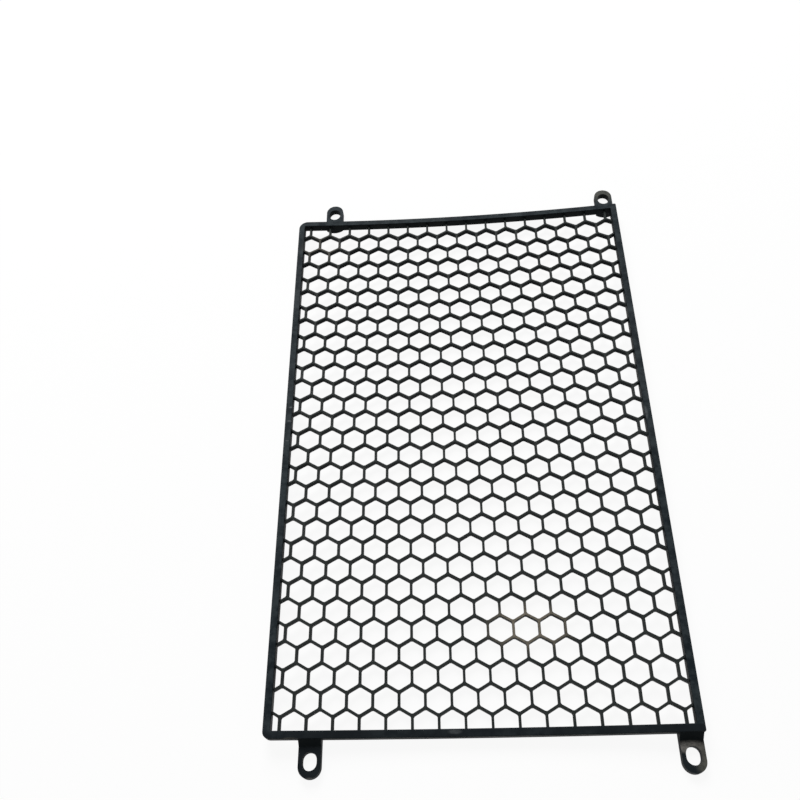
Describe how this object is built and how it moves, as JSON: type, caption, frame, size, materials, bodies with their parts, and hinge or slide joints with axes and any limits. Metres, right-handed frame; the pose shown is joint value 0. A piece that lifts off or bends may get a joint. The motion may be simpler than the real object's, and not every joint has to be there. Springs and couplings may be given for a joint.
{
  "type": "radiator screen",
  "caption": "Moulded honeycomb guard for a motorbike radiator: a slim rectangular frame, a gently arched hexagon mesh and slotted fixing lugs at both ends.",
  "frame": {"origin": "middle of the screen in X and Y, on the plane of the lugs' flat backs", "axes": "+X across the short side, +Y along the long side, +Z towards the front, away from the radiator"},
  "size_m": [0.1938, 0.3356, 0.0091],
  "materials": {
    "moulded_plastic": "semi-matte moulded black, dusty in places and scuffed at the rails"
  },
  "bodies": {
    "root": {"radiator_screen": "moulded_plastic"}
  },
  "joints": []
}
